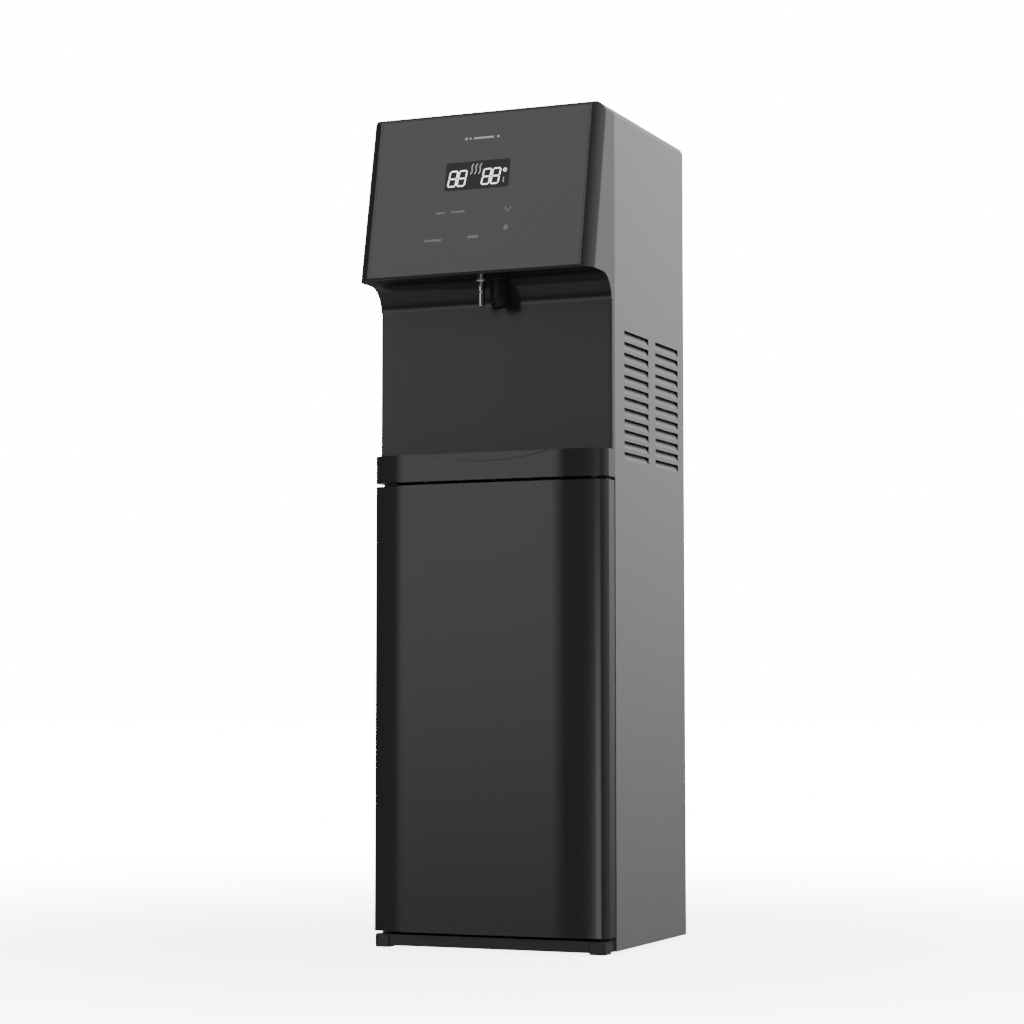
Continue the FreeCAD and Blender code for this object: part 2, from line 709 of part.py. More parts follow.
def main():
    os.makedirs("parts", exist_ok=True)
    right = side_panel()
    write_node("right_side_panel", right)
    write_node("left_side_panel", mirrored(right))
    write_node("top_cover", top_cover())
    write_node("back_panel", back_panel())
    write_node("base_pan", base_pan())
    write_node("base_plinth", base_plinth())
    write_node("front_feet", foot(-125, FRONT_FEET_Y), foot(125, FRONT_FEET_Y))
    write_node("rear_feet", foot(-125, REAR_FEET_Y), foot(125, REAR_FEET_Y))
    liner = bay_side()
    write_node("bay_right_liner", liner)
    write_node("bay_left_liner", mirrored(liner))
    write_node("bay_back_liner", bay_back())
    write_node("bottle_mat", bottle_mat())
    write_node("mid_deck", deck(DECK_BOTTOM, DECK_TOP, [(PROBE[0], PROBE[1], 7)]))
    inlet = (COLD_TANK[0] + 34, COLD_TANK[1] + 20, 7)
    write_node("tank_shelf", deck(SHELF_BOTTOM, SHELF_TOP, [inlet]))

    write_node("head_housing", head_housing())
    glass = glass_plate(GLASS_HALF, HEAD_BOTTOM + 3.3, HEIGHT - 4.8, 0, 3.2, 3)
    write_node("control_glass", glass)
    write_node("display_board", display_board())
    write_node("wall_panel", wall_panel())
    write_node("shelf_fascia", shelf_fascia())
    write_node("cold_spout", cold_spout())
    write_node("hot_spout", hot_spout())
    write_node("drip_tray", drip_tray())
    write_node("drip_grille", drip_grille())

    write_node("door_skin", door_skin())
    write_node("door_liner", door_liner())
    write_node("door_gasket", door_gasket())
    bushes = [hinge_bush(DOOR_BOTTOM, DOOR_BOTTOM + 17), hinge_bush(DOOR_TOP - 17, DOOR_TOP)]
    write_node("door_bushes", *bushes)
    write_node("door_magnet", box(-HALF + WALL + 0.2, -147, -9, -4, 282, 318))
    write_node("catch_plate", box(-HALF + 3, -148, -0.6, 0, 284, 316))
    write_node("hinge_brackets", *hinge_brackets())
    write_node("hinge_pins", *hinge_pins())

    write_node("cold_tank", cold_tank())
    write_node("evaporator_coil", evaporator_coil())
    write_node("cold_tank_foam", cold_tank_foam())
    write_node("hot_tank", hot_tank())
    write_node("heater_band", heater_band())
    write_node("hot_tank_jacket", hot_tank_jacket())
    write_node("compressor", compressor())
    write_node("compressor_mounts", *compressor_mounts())
    write_node("start_relay", box(COMPRESSOR[0] - 20, COMPRESSOR[0] + 20, 213, 235, 630, 680))
    write_node("filter_dryer", turned(12, 232, [(0, 600), (9, 612), (9, 690), (0, 702)]))
    write_node("water_pump", water_pump())
    write_node("suction_hose", suction_hose())
    write_node("feed_hose", feed_hose())
    write_node("cold_hose", *dispense_hoses(COLD_X, -14, COLD_TANK, COLD_TANK_TOP))
    write_node("hot_hose", *dispense_hoses(HOT_X, 22, HOT_TANK, HOT_TANK_TOP))
    write_node("dispense_valves", *dispense_valves())
    write_node("suction_probe", suction_probe())
    write_node("probe_clip", probe_clip())

    write_node("condenser_tube", condenser_tube())
    write_node("condenser_wires", *condenser_wires())
    write_node("condenser_brackets", *condenser_brackets())
    write_node("switch_plate", switch_plate())
    for name, x in SWITCHES.items():
        write_node(name, rocker(x))
    write_node("power_board", power_board())
    write_node("cord_gland", cord_gland())
    write_node("drain_spigot", drain_spigot())
    write_node("drain_plug", drain_plug())


main()
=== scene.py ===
"""Looks for a floor-standing bottom-load water dispenser, built around its fixed frame.

X runs to the viewer's right, Y from front to back and Z up, in metres.
"""
import json
import math

import bpy
import numpy as np
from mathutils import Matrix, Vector


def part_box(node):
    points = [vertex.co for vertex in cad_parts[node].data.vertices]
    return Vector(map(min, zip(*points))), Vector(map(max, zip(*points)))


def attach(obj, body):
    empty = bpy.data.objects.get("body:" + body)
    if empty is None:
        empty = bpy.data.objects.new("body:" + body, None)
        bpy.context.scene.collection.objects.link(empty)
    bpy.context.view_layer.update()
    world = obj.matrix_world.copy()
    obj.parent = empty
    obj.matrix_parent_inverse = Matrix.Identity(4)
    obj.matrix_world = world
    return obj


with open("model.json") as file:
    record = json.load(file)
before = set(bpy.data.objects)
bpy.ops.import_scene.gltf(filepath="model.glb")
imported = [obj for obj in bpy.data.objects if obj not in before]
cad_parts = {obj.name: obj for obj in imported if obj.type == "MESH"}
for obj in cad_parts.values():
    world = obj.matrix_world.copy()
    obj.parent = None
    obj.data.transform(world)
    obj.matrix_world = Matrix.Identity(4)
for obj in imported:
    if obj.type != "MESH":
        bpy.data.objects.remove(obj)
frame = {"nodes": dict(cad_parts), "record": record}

bl_info = {
    "name": "Water dispenser looks",
    "version": (1, 0, 0),
    "blender": (4, 5, 0),
    "location": "View3D > Sidebar > Dispenser",
    "description": "Finishes, display, fittings and studio for a bottom-load water dispenser",
    "category": "Object",
}

# Sizes are in millimetres from here on, apart from the settings, the lights and the camera
MM = 0.001
GLASS_THICKNESS = 3.2
HEAD_UNDERSIDE = 828.0

# Print on the glass: how thick it is, and how far off the glass printed and lit marks stand
PRINT_THICKNESS = 0.06
PRINT_LIFT = 0.02
LIT_LIFT = 0.10

# Where the display's digits stand
DIGIT_STARTS = (-43.0, -30.6, 2.4, 14.8)
DIGIT_FOOT = 943.4
DIGIT_GAP = 0.35

HEAD_MARK_HEIGHT = 1004.8

# Screws down each side of the back panel, and along its top and bottom
SIDE_SCREW_X = 147
SIDE_SCREW_HEIGHTS = range(28, 1001, 162)
END_SCREW_X = 50
END_SCREW_HEIGHTS = (14, 1022)

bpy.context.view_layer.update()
SLOT_OF = {part["node"]: part["material_slot"] for part in frame["record"]["subparts"]}


# ---------------------------------------------------------------- settings

class DispenserFinish(bpy.types.PropertyGroup):
    """Colours and gloss of the dispenser's main surfaces."""

    front_colour: bpy.props.FloatVectorProperty(
        name="Front colour", description="Colour of the polished front mouldings",
        subtype="COLOR", size=3, min=0, max=1, default=(0.060, 0.060, 0.0615),
    )
    side_colour: bpy.props.FloatVectorProperty(
        name="Side colour", description="Colour of the painted sheet-metal sides",
        subtype="COLOR", size=3, min=0, max=1, default=(0.20, 0.20, 0.203),
    )
    front_roughness: bpy.props.FloatProperty(
        name="Front roughness", description="How matt the polished mouldings are",
        min=0, max=1, default=0.11,
    )
    side_roughness: bpy.props.FloatProperty(
        name="Side roughness", description="How matt the painted sides are",
        min=0, max=1, default=0.38,
    )
    # Digit glow also sets the painted glow of the print on the glass
    digit_glow: bpy.props.FloatProperty(
        name="Digit glow", description="Brightness of the lit digits", min=0, default=2.2,
    )


class DispenserDisplay(bpy.types.PropertyGroup):
    """Sizes of the lit display's digits."""

    digit_height: bpy.props.FloatProperty(
        name="Digit height", description="Height of a lit digit",
        subtype="DISTANCE", unit="LENGTH", default=0.0195,
    )
    digit_width: bpy.props.FloatProperty(
        name="Digit width", description="Width of a lit digit",
        subtype="DISTANCE", unit="LENGTH", default=0.0100,
    )
    stroke: bpy.props.FloatProperty(
        name="Stroke", description="Width of a digit's lit bars",
        subtype="DISTANCE", unit="LENGTH", default=0.0018,
    )
    slant: bpy.props.FloatProperty(
        name="Slant", description="Lean of the digits to the right",
        subtype="ANGLE", unit="ROTATION", default=math.radians(8),
    )


class DispenserStage(bpy.types.PropertyGroup):
    """Camera place and studio light."""

    camera_place: bpy.props.FloatVectorProperty(
        name="Camera place", description="Where the camera stands",
        subtype="TRANSLATION", unit="LENGTH", size=3, default=(1.2657, -3.0672, 0.3025),
    )
    camera_turn: bpy.props.FloatProperty(
        name="Camera turn", description="Turn of the view from straight ahead, to the left",
        subtype="ANGLE", unit="ROTATION", default=math.radians(22.776),
    )
    camera_tilt: bpy.props.FloatProperty(
        name="Camera tilt", description="Tilt of the view above level",
        subtype="ANGLE", unit="ROTATION", default=math.radians(4.229),
    )
    room_light: bpy.props.FloatProperty(
        name="Room light", description="Even light of the room between the soft boxes", min=0, default=0.05,
    )
    focal_length: bpy.props.FloatProperty(
        name="Focal length", description="Focal length in millimetres on a 36 mm sensor", default=91.29,
    )


# ---------------------------------------------------------------- node helpers

def new_tree(material):
    material.use_nodes = True
    tree = material.node_tree
    tree.nodes.clear()
    return tree


def add(tree, kind, **settings):
    """Adds a node and sets its attributes, or its inputs where the name is an input's."""
    node = tree.nodes.new(kind)
    for name, value in settings.items():
        if hasattr(node, name):
            setattr(node, name, value)
        else:
            node.inputs[name.replace("_", " ")].default_value = value
    return node


def group_sockets(tree, inputs, outputs):
    for name, kind, default in inputs:
        socket = tree.interface.new_socket(name, in_out="INPUT", socket_type=kind)
        socket.default_value = default
    for name, kind in outputs:
        tree.interface.new_socket(name, in_out="OUTPUT", socket_type=kind)


def surface_variation_group():
    """Slow colour and roughness drift plus a fine height grain, from object coordinates."""
    tree = bpy.data.node_groups.new("surface_variation", "ShaderNodeTree")
    group_sockets(tree, [
        ("Colour", "NodeSocketColor", (0.5, 0.5, 0.5, 1)),
        ("Colour Drift", "NodeSocketFloat", 0.04),
        ("Roughness", "NodeSocketFloat", 0.4),
        ("Roughness Drift", "NodeSocketFloat", 0.05),
        ("Drift Scale", "NodeSocketFloat", 6.0),
        ("Grain Scale", "NodeSocketFloat", 900.0),
    ], [("Colour", "NodeSocketColor"), ("Roughness", "NodeSocketFloat"), ("Height", "NodeSocketFloat")])
    links = tree.links
    enter = add(tree, "NodeGroupInput")
    leave = add(tree, "NodeGroupOutput")
    place = add(tree, "ShaderNodeTexCoord")
    drift = add(tree, "ShaderNodeTexNoise", Detail=3.0)
    grain = add(tree, "ShaderNodeTexNoise", Detail=2.0)
    centred = add(tree, "ShaderNodeMath", operation="SUBTRACT")
    centred.inputs[1].default_value = 0.5
    gain = add(tree, "ShaderNodeMath", operation="MULTIPLY_ADD")
    gain.inputs[2].default_value = 1.0
    tint = add(tree, "ShaderNodeVectorMath", operation="SCALE")
    rough = add(tree, "ShaderNodeMath", operation="MULTIPLY_ADD")
    links.new(place.outputs["Object"], drift.inputs["Vector"])
    links.new(place.outputs["Object"], grain.inputs["Vector"])
    links.new(enter.outputs["Drift Scale"], drift.inputs["Scale"])
    links.new(enter.outputs["Grain Scale"], grain.inputs["Scale"])
    links.new(drift.outputs["Fac"], centred.inputs[0])
    links.new(centred.outputs[0], gain.inputs[0])
    links.new(enter.outputs["Colour Drift"], gain.inputs[1])
    links.new(enter.outputs["Colour"], tint.inputs[0])
    links.new(gain.outputs[0], tint.inputs["Scale"])
    links.new(centred.outputs[0], rough.inputs[0])
    links.new(enter.outputs["Roughness Drift"], rough.inputs[1])
    links.new(enter.outputs["Roughness"], rough.inputs[2])
    links.new(tint.outputs[0], leave.inputs["Colour"])
    links.new(rough.outputs[0], leave.inputs["Roughness"])
    links.new(grain.outputs["Fac"], leave.inputs["Height"])
    return tree


def brushed_group():
    """Fine streaks along one axis: noise on coordinates stretched along that axis."""
    tree = bpy.data.node_groups.new("brushed_streaks", "ShaderNodeTree")
    group_sockets(tree, [
        ("Stretch", "NodeSocketVector", (900.0, 900.0, 6.0)),
        ("Roughness", "NodeSocketFloat", 0.3),
        ("Roughness Drift", "NodeSocketFloat", 0.15),
    ], [("Roughness", "NodeSocketFloat"), ("Height", "NodeSocketFloat")])
    links = tree.links
    enter = add(tree, "NodeGroupInput")
    leave = add(tree, "NodeGroupOutput")
    place = add(tree, "ShaderNodeTexCoord")
    stretch = add(tree, "ShaderNodeVectorMath", operation="MULTIPLY")
    streaks = add(tree, "ShaderNodeTexNoise", Scale=1.0, Detail=4.0)
    rough = add(tree, "ShaderNodeMath", operation="MULTIPLY_ADD")
    links.new(place.outputs["Object"], stretch.inputs[0])
    links.new(enter.outputs["Stretch"], stretch.inputs[1])
    links.new(stretch.outputs[0], streaks.inputs["Vector"])
    links.new(streaks.outputs["Fac"], rough.inputs[0])
    links.new(enter.outputs["Roughness Drift"], rough.inputs[1])
    links.new(enter.outputs["Roughness"], rough.inputs[2])
    links.new(rough.outputs[0], leave.inputs["Roughness"])
    links.new(streaks.outputs["Fac"], leave.inputs["Height"])
    return tree


def varied_material(name, colour, roughness, drift=0.05, rough_drift=0.06, drift_scale=6.0,
                    grain_scale=900.0, grain_depth=0.00003, **shader_values):
    """A Principled material whose colour, roughness and relief come from surface_variation."""
    material = bpy.data.materials.new(name)
    tree = new_tree(material)
    effect = add(tree, "ShaderNodeGroup", node_tree=bpy.data.node_groups["surface_variation"])
    effect.inputs["Colour"].default_value = (*colour, 1)
    effect.inputs["Colour Drift"].default_value = drift
    effect.inputs["Roughness"].default_value = roughness
    effect.inputs["Roughness Drift"].default_value = rough_drift
    effect.inputs["Drift Scale"].default_value = drift_scale
    effect.inputs["Grain Scale"].default_value = grain_scale
    relief = add(tree, "ShaderNodeBump", Strength=1.0, Distance=grain_depth)
    shader = add(tree, "ShaderNodeBsdfPrincipled", **shader_values)
    leave = add(tree, "ShaderNodeOutputMaterial")
    tree.links.new(effect.outputs["Colour"], shader.inputs["Base Color"])
    tree.links.new(effect.outputs["Roughness"], shader.inputs["Roughness"])
    tree.links.new(effect.outputs["Height"], relief.inputs["Height"])
    tree.links.new(relief.outputs["Normal"], shader.inputs["Normal"])
    tree.links.new(shader.outputs[0], leave.inputs["Surface"])
    return material


def brushed_material(name, colour, roughness, stretch, rough_drift=0.15, depth=0.00002, **shader_values):
    material = bpy.data.materials.new(name)
    tree = new_tree(material)
    effect = add(tree, "ShaderNodeGroup", node_tree=bpy.data.node_groups["brushed_streaks"])
    effect.inputs["Stretch"].default_value = stretch
    effect.inputs["Roughness"].default_value = roughness
    effect.inputs["Roughness Drift"].default_value = rough_drift
    relief = add(tree, "ShaderNodeBump", Strength=1.0, Distance=depth)
    shader = add(tree, "ShaderNodeBsdfPrincipled", Metallic=1.0, **shader_values)
    shader.inputs["Base Color"].default_value = (*colour, 1)
    leave = add(tree, "ShaderNodeOutputMaterial")
    tree.links.new(effect.outputs["Roughness"], shader.inputs["Roughness"])
    tree.links.new(effect.outputs["Height"], relief.inputs["Height"])
    tree.links.new(relief.outputs["Normal"], shader.inputs["Normal"])
    tree.links.new(shader.outputs[0], leave.inputs["Surface"])
    return material


# ---------------------------------------------------------------- finishes

def front_plastics(settings):
    """The polished and the satin front mouldings."""
    colour = tuple(settings.front_colour)
    rough = settings.front_roughness
    varied_material("gloss_front", colour, rough, drift=0.05, rough_drift=0.03, drift_scale=4.0,
                    grain_scale=260.0, grain_depth=0.00001)
    varied_material("satin_front", colour, rough + 0.17, drift=0.05, rough_drift=0.04, drift_scale=4.0,
                    grain_scale=700.0, grain_depth=0.00002, Specular_IOR_Level=0.5)


def side_paint(settings):
    """Powder paint on sheet: faint orange peel and metallic flake."""
    varied_material("side_paint", tuple(settings.side_colour), settings.side_roughness, drift=0.03,
                    rough_drift=0.04, drift_scale=5.0, grain_scale=420.0, grain_depth=0.00004,
                    Metallic=0.12)


def control_glass_material():
    """Smoked glass printed dark grey behind, under a clear polished coat."""
    varied_material("control_glass", (0.024, 0.024, 0.025), 0.10, drift=0.04, rough_drift=0.02,
                    drift_scale=3.0, grain_scale=60.0, grain_depth=0.000004,
                    Coat_Weight=0.15, Coat_Roughness=0.05)


def plain_finishes():
    """Every other moulded, rubber and painted finish, by slot."""
    rows = (
        ("black_plastic", (0.022, 0.022, 0.023), 0.45, 0.00005, 0.0),
        ("liner_plastic", (0.42, 0.42, 0.42), 0.42, 0.00004, 0.0),
        ("white_plastic", (0.66, 0.66, 0.64), 0.38, 0.00003, 0.0),
        ("rubber_black", (0.018, 0.018, 0.018), 0.72, 0.00008, 0.0),
        ("black_steel", (0.016, 0.016, 0.017), 0.36, 0.00005, 0.3),
        ("foam", (0.62, 0.56, 0.42), 0.85, 0.00040, 0.0),
        ("circuit_board", (0.010, 0.085, 0.040), 0.30, 0.00002, 0.0),
        ("red_key", (0.42, 0.020, 0.014), 0.28, 0.00002, 0.0),
        ("blue_key", (0.012, 0.06, 0.32), 0.28, 0.00002, 0.0),
        ("silicone_hose", (0.58, 0.60, 0.60), 0.35, 0.00003, 0.0),
    )
    for name, colour, rough, depth, metallic in rows:
        varied_material(name, colour, rough, drift=0.10, rough_drift=0.08, drift_scale=9.0,
                        grain_scale=900.0, grain_depth=depth, Metallic=metallic)


def metal_finishes():
    brushed_material("zinc_sheet", (0.50, 0.51, 0.52), 0.34, (40.0, 500.0, 40.0))
    brushed_material("stainless", (0.55, 0.55, 0.54), 0.24, (30.0, 30.0, 900.0))
    brushed_material("copper_pipe", (0.70, 0.36, 0.22), 0.26, (500.0, 500.0, 60.0))
    brushed_material("chrome", (0.78, 0.78, 0.79), 0.04, (300.0, 300.0, 20.0), rough_drift=0.05)


def lit_material(name, colour, glow):
    """Light coming through a printed window for the digits, and a painted glow on the print that stands in
    for the light it reflects: even in colour, a little uneven in strength.
    """
    material = bpy.data.materials.new(name)
    tree = new_tree(material)
    effect = add(tree, "ShaderNodeGroup", node_tree=bpy.data.node_groups["surface_variation"])
    effect.inputs["Colour"].default_value = (*colour, 1)
    effect.inputs["Colour Drift"].default_value = 0.25
    effect.inputs["Roughness"].default_value = 0.3
    effect.inputs["Drift Scale"].default_value = 120.0
    shader = add(tree, "ShaderNodeBsdfPrincipled")
    shader.inputs["Emission Strength"].default_value = glow
    leave = add(tree, "ShaderNodeOutputMaterial")
    tree.links.new(effect.outputs["Colour"], shader.inputs["Base Color"])
    tree.links.new(effect.outputs["Colour"], shader.inputs["Emission Color"])
    tree.links.new(effect.outputs["Roughness"], shader.inputs["Roughness"])
    tree.links.new(shader.outputs[0], leave.inputs["Surface"])
    return material


class DISPENSER_OT_finishes(bpy.types.Operator):
    """Make every finish and put it on the frame's parts"""

    bl_idname = "dispenser.finishes"
    bl_label = "Finishes"

    def execute(self, context):
        settings = context.scene.dispenser_finish
        # The frame comes with plain materials named after the slots; the new ones need those names
        for slot in sorted(set(SLOT_OF.values())):
            bpy.data.materials[slot].name = slot + "_plain"
        surface_variation_group()
        brushed_group()
        front_plastics(settings)
        side_paint(settings)
        control_glass_material()
        plain_finishes()
        metal_finishes()
        glow = settings.digit_glow
        lit_material("lit_white", (0.86, 0.90, 0.92), glow)
        lit_material("lit_half", (0.62, 0.65, 0.68), glow * 0.16)
        # The print on the glass gets a faint painted glow in place of the light it would reflect
        lit_material("print_bright", (0.62, 0.63, 0.64), glow * 0.12)
        lit_material("print_grey", (0.30, 0.30, 0.31), glow * 0.05)
        lit_material("print_faint", (0.14, 0.14, 0.145), glow * 0.03)
        varied_material("display_black", (0.006, 0.006, 0.007), 0.12, grain_depth=0.000002,
                        Specular_IOR_Level=0.26)
        brushed_material("label_foil", (0.62, 0.62, 0.63), 0.38, (700.0, 60.0, 12.0))
        for name, node in frame["nodes"].items():
            material = bpy.data.materials[SLOT_OF[name]]
            node.data.materials.clear()
            node.data.materials.append(material)
        return {"FINISHED"}


# ---------------------------------------------------------------- mesh helpers

def add_piece(name, points, faces, material, slot, body="cabinet", smooth=False):
    """A new piece from an array of points in millimetres and its faces, riding on a body."""
    mesh = bpy.data.meshes.new(name)
    mesh.from_pydata((np.asarray(points, float) * MM).tolist(), [], [list(map(int, face)) for face in faces])
    mesh.polygons.foreach_set("use_smooth", [smooth] * len(mesh.polygons))
    mesh.materials.append(bpy.data.materials[material])
    mesh.update()
    piece = bpy.data.objects.new(name, mesh)
    bpy.context.scene.collection.objects.link(piece)
    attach(piece, body)
    return piece


def joined(parts):
    """Several (points, faces) pairs as one."""
    points, faces, start = [], [], 0
    for part_points, part_faces in parts:
        points.append(part_points)
        faces += [[index + start for index in face] for face in part_faces]
        start += len(part_points)
    return np.concatenate(points), faces


def node_box(name):
    """A node's lowest and highest corners, in millimetres."""
    return [np.array(corner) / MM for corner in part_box(name)]


def on_glass(flat, proud):
    """Carries (x, height) pairs to the leaning glass, that far proud of it.

    The front face starts at the glass's lowest, foremost edge and falls back evenly with height; how
    fast comes from the node's depth less its own thickness, measured level.
    """
    low, high = node_box("control_glass")
    lean = 0.2
    for _ in range(4):
        lean = (high[1] - low[1] - GLASS_THICKNESS * math.hypot(1, lean)) / (high[2] - low[2])
    x, z = np.asarray(flat, float).T
    y = low[1] + (z - low[2]) * lean - proud * math.hypot(1, lean)
    return np.stack([x, y, z], -1)


def plate(outline, thickness, place=on_glass, lift=PRINT_LIFT):
    """A closed flat plate: an outline set a hair above a surface and carried out by the thickness."""
    outline = np.asarray(outline, float)
    after = np.roll(outline, -1, axis=0)
    if np.sum(outline[:, 0] * after[:, 1] - outline[:, 1] * after[:, 0]) < 0:
        outline = outline[::-1]
    count = len(outline)
    points = np.concatenate([place(outline, lift + thickness), place(outline, lift)])
    front = np.arange(count)
    next_front = (front + 1) % count
    sides = np.stack([front, front + count, next_front + count, next_front], -1)
    return points, [front.tolist(), (front[::-1] + count).tolist()] + sides.tolist()


def ribbon(line, width, closed=False):
    """Outline of a band of even width along a line: the line moved half the width to each side."""
    line = np.asarray(line, float)
    ahead = np.roll(line, -1, axis=0) if closed else np.vstack([line[1:], 2 * line[-1] - line[-2]])
    behind = np.roll(line, 1, axis=0) if closed else np.vstack([2 * line[0] - line[1], line[:-1]])
    along = ahead - behind
    along /= np.linalg.norm(along, axis=1, keepdims=True)
    across = np.stack([-along[:, 1], along[:, 0]], -1) * width / 2
    if closed:
        line = np.vstack([line, line[:1]])
        across = np.vstack([across, across[:1]])
    return np.vstack([line - across, (line + across)[::-1]])


def disc(x, z, radius, count=28):
    """Points evenly round a circle."""
    turn = np.linspace(0, 2 * np.pi, count, endpoint=False)
    return np.stack([x + radius * np.cos(turn), z + radius * np.sin(turn)], -1)


def bar(x0, x1, z0, z1, corner=0.0):
    """A rectangle with each corner cut off on the slant by corner."""
    c = corner
    points = [
        (x0 + c, z0), (x1 - c, z0), (x1, z0 + c), (x1, z1 - c),
        (x1 - c, z1), (x0 + c, z1), (x0, z1 - c), (x0, z0 + c),
    ]
    return points if c else points[::2]


def turned(profile, centre, count=48):
    """A closed profile of (radius, height) pairs carried round an upright axis through the centre."""
    profile = np.asarray(profile, float)
    turn = np.linspace(0, 2 * np.pi, count, endpoint=False)
    radius, height = profile[:, 0][:, None], profile[:, 1][:, None]
    grid = np.stack([radius * np.cos(turn), radius * np.sin(turn), height + 0 * turn], -1)
    points = grid.reshape(-1, 3) + np.asarray(centre, float)
    here = np.arange(count)
    after = (here + 1) % count
    start = count * np.arange(len(profile))[:, None]
    above = (start + count) % len(points)
    faces = np.stack([start + here, start + after, above + after, above + here], -1).reshape(-1, 4)
    return points, faces.tolist()


def domed_screw(x, y, z, radius=3.6, height=1.9, rings=9, count=32):
    """A pan-head screw facing the back, with a cross recess.

    Height over the seat is a flattened dome, one less the fourth power of the radius, under a root;
    the cross is a smooth dent where the nearer of the two arm distances is small.
    """
    out = np.linspace(0.02, 1, rings)
    turn = np.linspace(0, 2 * np.pi, count, endpoint=False)
    r, t = np.meshgrid(out, turn, indexing="ij")
    a, b = r * np.cos(t), r * np.sin(t)
    dome = np.sqrt(np.clip(1 - r ** 4, 0, 1))
    arm = np.minimum(np.abs(a), np.abs(b)) / 0.13
    dent = 0.55 * np.exp(-arm ** 4) * np.clip((0.62 - r) / 0.12, 0, 1)
    proud = height * np.clip(dome * 0.75 + 0.25 - dent, 0, None)
    top = np.stack([x - radius * a, y + proud, z + radius * b], -1).reshape(-1, 3)
    rim = np.stack([x - radius * a[-1], 0 * a[-1] + y - 0.05, z + radius * b[-1]], -1)
    centre = np.array([[x, y + 0.45 * height, z], [x, y - 0.05, z]])
    points = np.vstack([top, rim, centre])
    here = np.arange(count)
    after = (here + 1) % count
    start = count * np.arange(rings)[:, None]
    faces = np.stack([start + here, start + after, start + count + after, start + count + here], -1)
    faces = faces[:, :, ::-1].reshape(-1, 4).tolist()
    hub = count * (rings + 1)
    faces += np.stack([here, after, here * 0 + hub], -1).tolist()
    faces += np.stack([count * rings + after, count * rings + here, here * 0 + hub + 1], -1).tolist()
    return points, faces


# ---------------------------------------------------------------- display and touch marks

def digit(x, z, settings):
    """The seven lit bars of an 8, each a slim six-sided bar, leaning to the right."""
    wide, high = settings.digit_width / MM, settings.digit_height / MM
    half = settings.stroke / MM / 2
    bars = [((0, z0), (wide, z0)) for z0 in (0, high / 2, high)]
    bars += [((x0, z0), (x0, z0 + high / 2)) for x0 in (0, wide) for z0 in (0, high / 2)]
    outlines = []
    for start, end in np.array(bars, float):
        along = (end - start) / np.linalg.norm(end - start)
        aside = np.array([-along[1], along[0]])
        start = start + along * DIGIT_GAP
        end = end - along * DIGIT_GAP
        corners = np.array([
            start, start + half * (along - aside), end - half * (along + aside),
            end, end + half * (aside - along), start + half * (along + aside),
        ])
        corners[:, 0] += corners[:, 1] * math.tan(settings.slant) + x
        corners[:, 1] += z
        outlines.append(corners)
    return outlines


def printed(name, outlines, material, slot, lift=PRINT_LIFT):
    """One piece of flat marks on the glass, each from its outline."""
    parts = [plate(outline, PRINT_THICKNESS, lift=lift) for outline in outlines]
    return add_piece(name, *joined(parts), material, slot)


class DISPENSER_OT_display(bpy.types.Operator):
    """Dark display window with its lit digits and small signs"""

    bl_idname = "dispenser.display"
    bl_label = "Display"

    def execute(self, context):
        settings = context.scene.dispenser_display
        printed("display_window", [bar(-47, 39.5, 938, 974.5, 1.6)], "display_black", "black_plastic")
        digits = []
        for x in DIGIT_STARTS:
            digits += digit(x, DIGIT_FOOT, settings)
        printed("display_digits", digits, "lit_white", "white_plastic", lift=LIT_LIFT)
        degree = ribbon(disc(33.2, 960.0, 1.9), 1.1, closed=True)
        printed("display_degree", [degree], "lit_white", "white_plastic", lift=LIT_LIFT)
        waves = []
        for x in (-13.5, -8.0, -2.5):
            step = np.linspace(0, 1, 13)
            line = np.stack([x + 1.1 * np.sin(2 * np.pi * step) + 4 * step, 957.5 + 13.5 * step], -1)
            waves.append(ribbon(line, 1.5))
        waves.append(bar(31.4, 32.8, 944, 950.5))
        printed("display_signs", waves, "lit_half", "white_plastic", lift=LIT_LIFT)
        return {"FINISHED"}


class DISPENSER_OT_touch_marks(bpy.types.Operator):
    """Faint touch signs and plain bars printed on the glass"""

    bl_idname = "dispenser.touch_marks"
    bl_label = "Touch marks"

    def execute(self, context):
        kettle = [(-63.5, 876.5), (-62, 888), (-58, 893.5), (-51.5, 893.5), (-47.5, 888), (-46, 876.5)]
        spout = [(-63.0, 883.0), (-67.5, 889.5)]
        handle = [(-49.5, 893.5), (-47.5, 898.0), (-57.0, 899.5)]
        glass = [(-8.0, 901.0), (-6.2, 879.0), (3.4, 879.0), (5.0, 901.0)]
        level = [(-7.2, 893.0), (-1.6, 894.6), (4.2, 893.0)]
        chevron = [(37.2, 911.5), (41.4, 905.2), (45.6, 911.5)]
        faint = [ribbon(line, 0.9) for line in (kettle, spout, handle, glass, level)]
        faint += [ribbon(disc(40.4, 885.2, 8.0, 40), 0.6, closed=True), bar(-6.8, -2.8, 908.6, 910.2)]
        clear = [bar(-68, -45.5, 873.2, 876.2, 0.6), bar(-10, 4.5, 874.4, 877.8, 0.8)]
        clear += [bar(-56, -44, 908.4, 911.0, 0.5), bar(-35.5, -16.5, 908.6, 911.4, 0.5)]
        clear += [ribbon(chevron, 1.8), disc(40.4, 885.2, 3.4)]
        # The touch signs glow faintly: painted light standing in for the light the print reflects
        printed("touch_signs_faint", faint, "print_faint", "white_plastic")
        printed("touch_signs", clear, "print_grey", "white_plastic")
        return {"FINISHED"}


class DISPENSER_OT_head_mark(bpy.types.Operator):
    """Plain ornament at the top of the glass: a slim bar between dots"""

    bl_idname = "dispenser.head_mark"
    bl_label = "Head mark"

    def execute(self, context):
        outlines = [bar(-12.5, 14.5, 1003.4, 1006.0, 0.7)]
        for x, radius in ((-22.6, 1.9), (-17.2, 1.5), (20.4, 1.8)):
            outlines.append(disc(x, HEAD_MARK_HEIGHT, radius, 20))
        # The ornament glows faintly: painted light standing in for the light the print reflects
        printed("head_mark", outlines, "print_bright", "white_plastic")
        return {"FINISHED"}


# ---------------------------------------------------------------- fittings

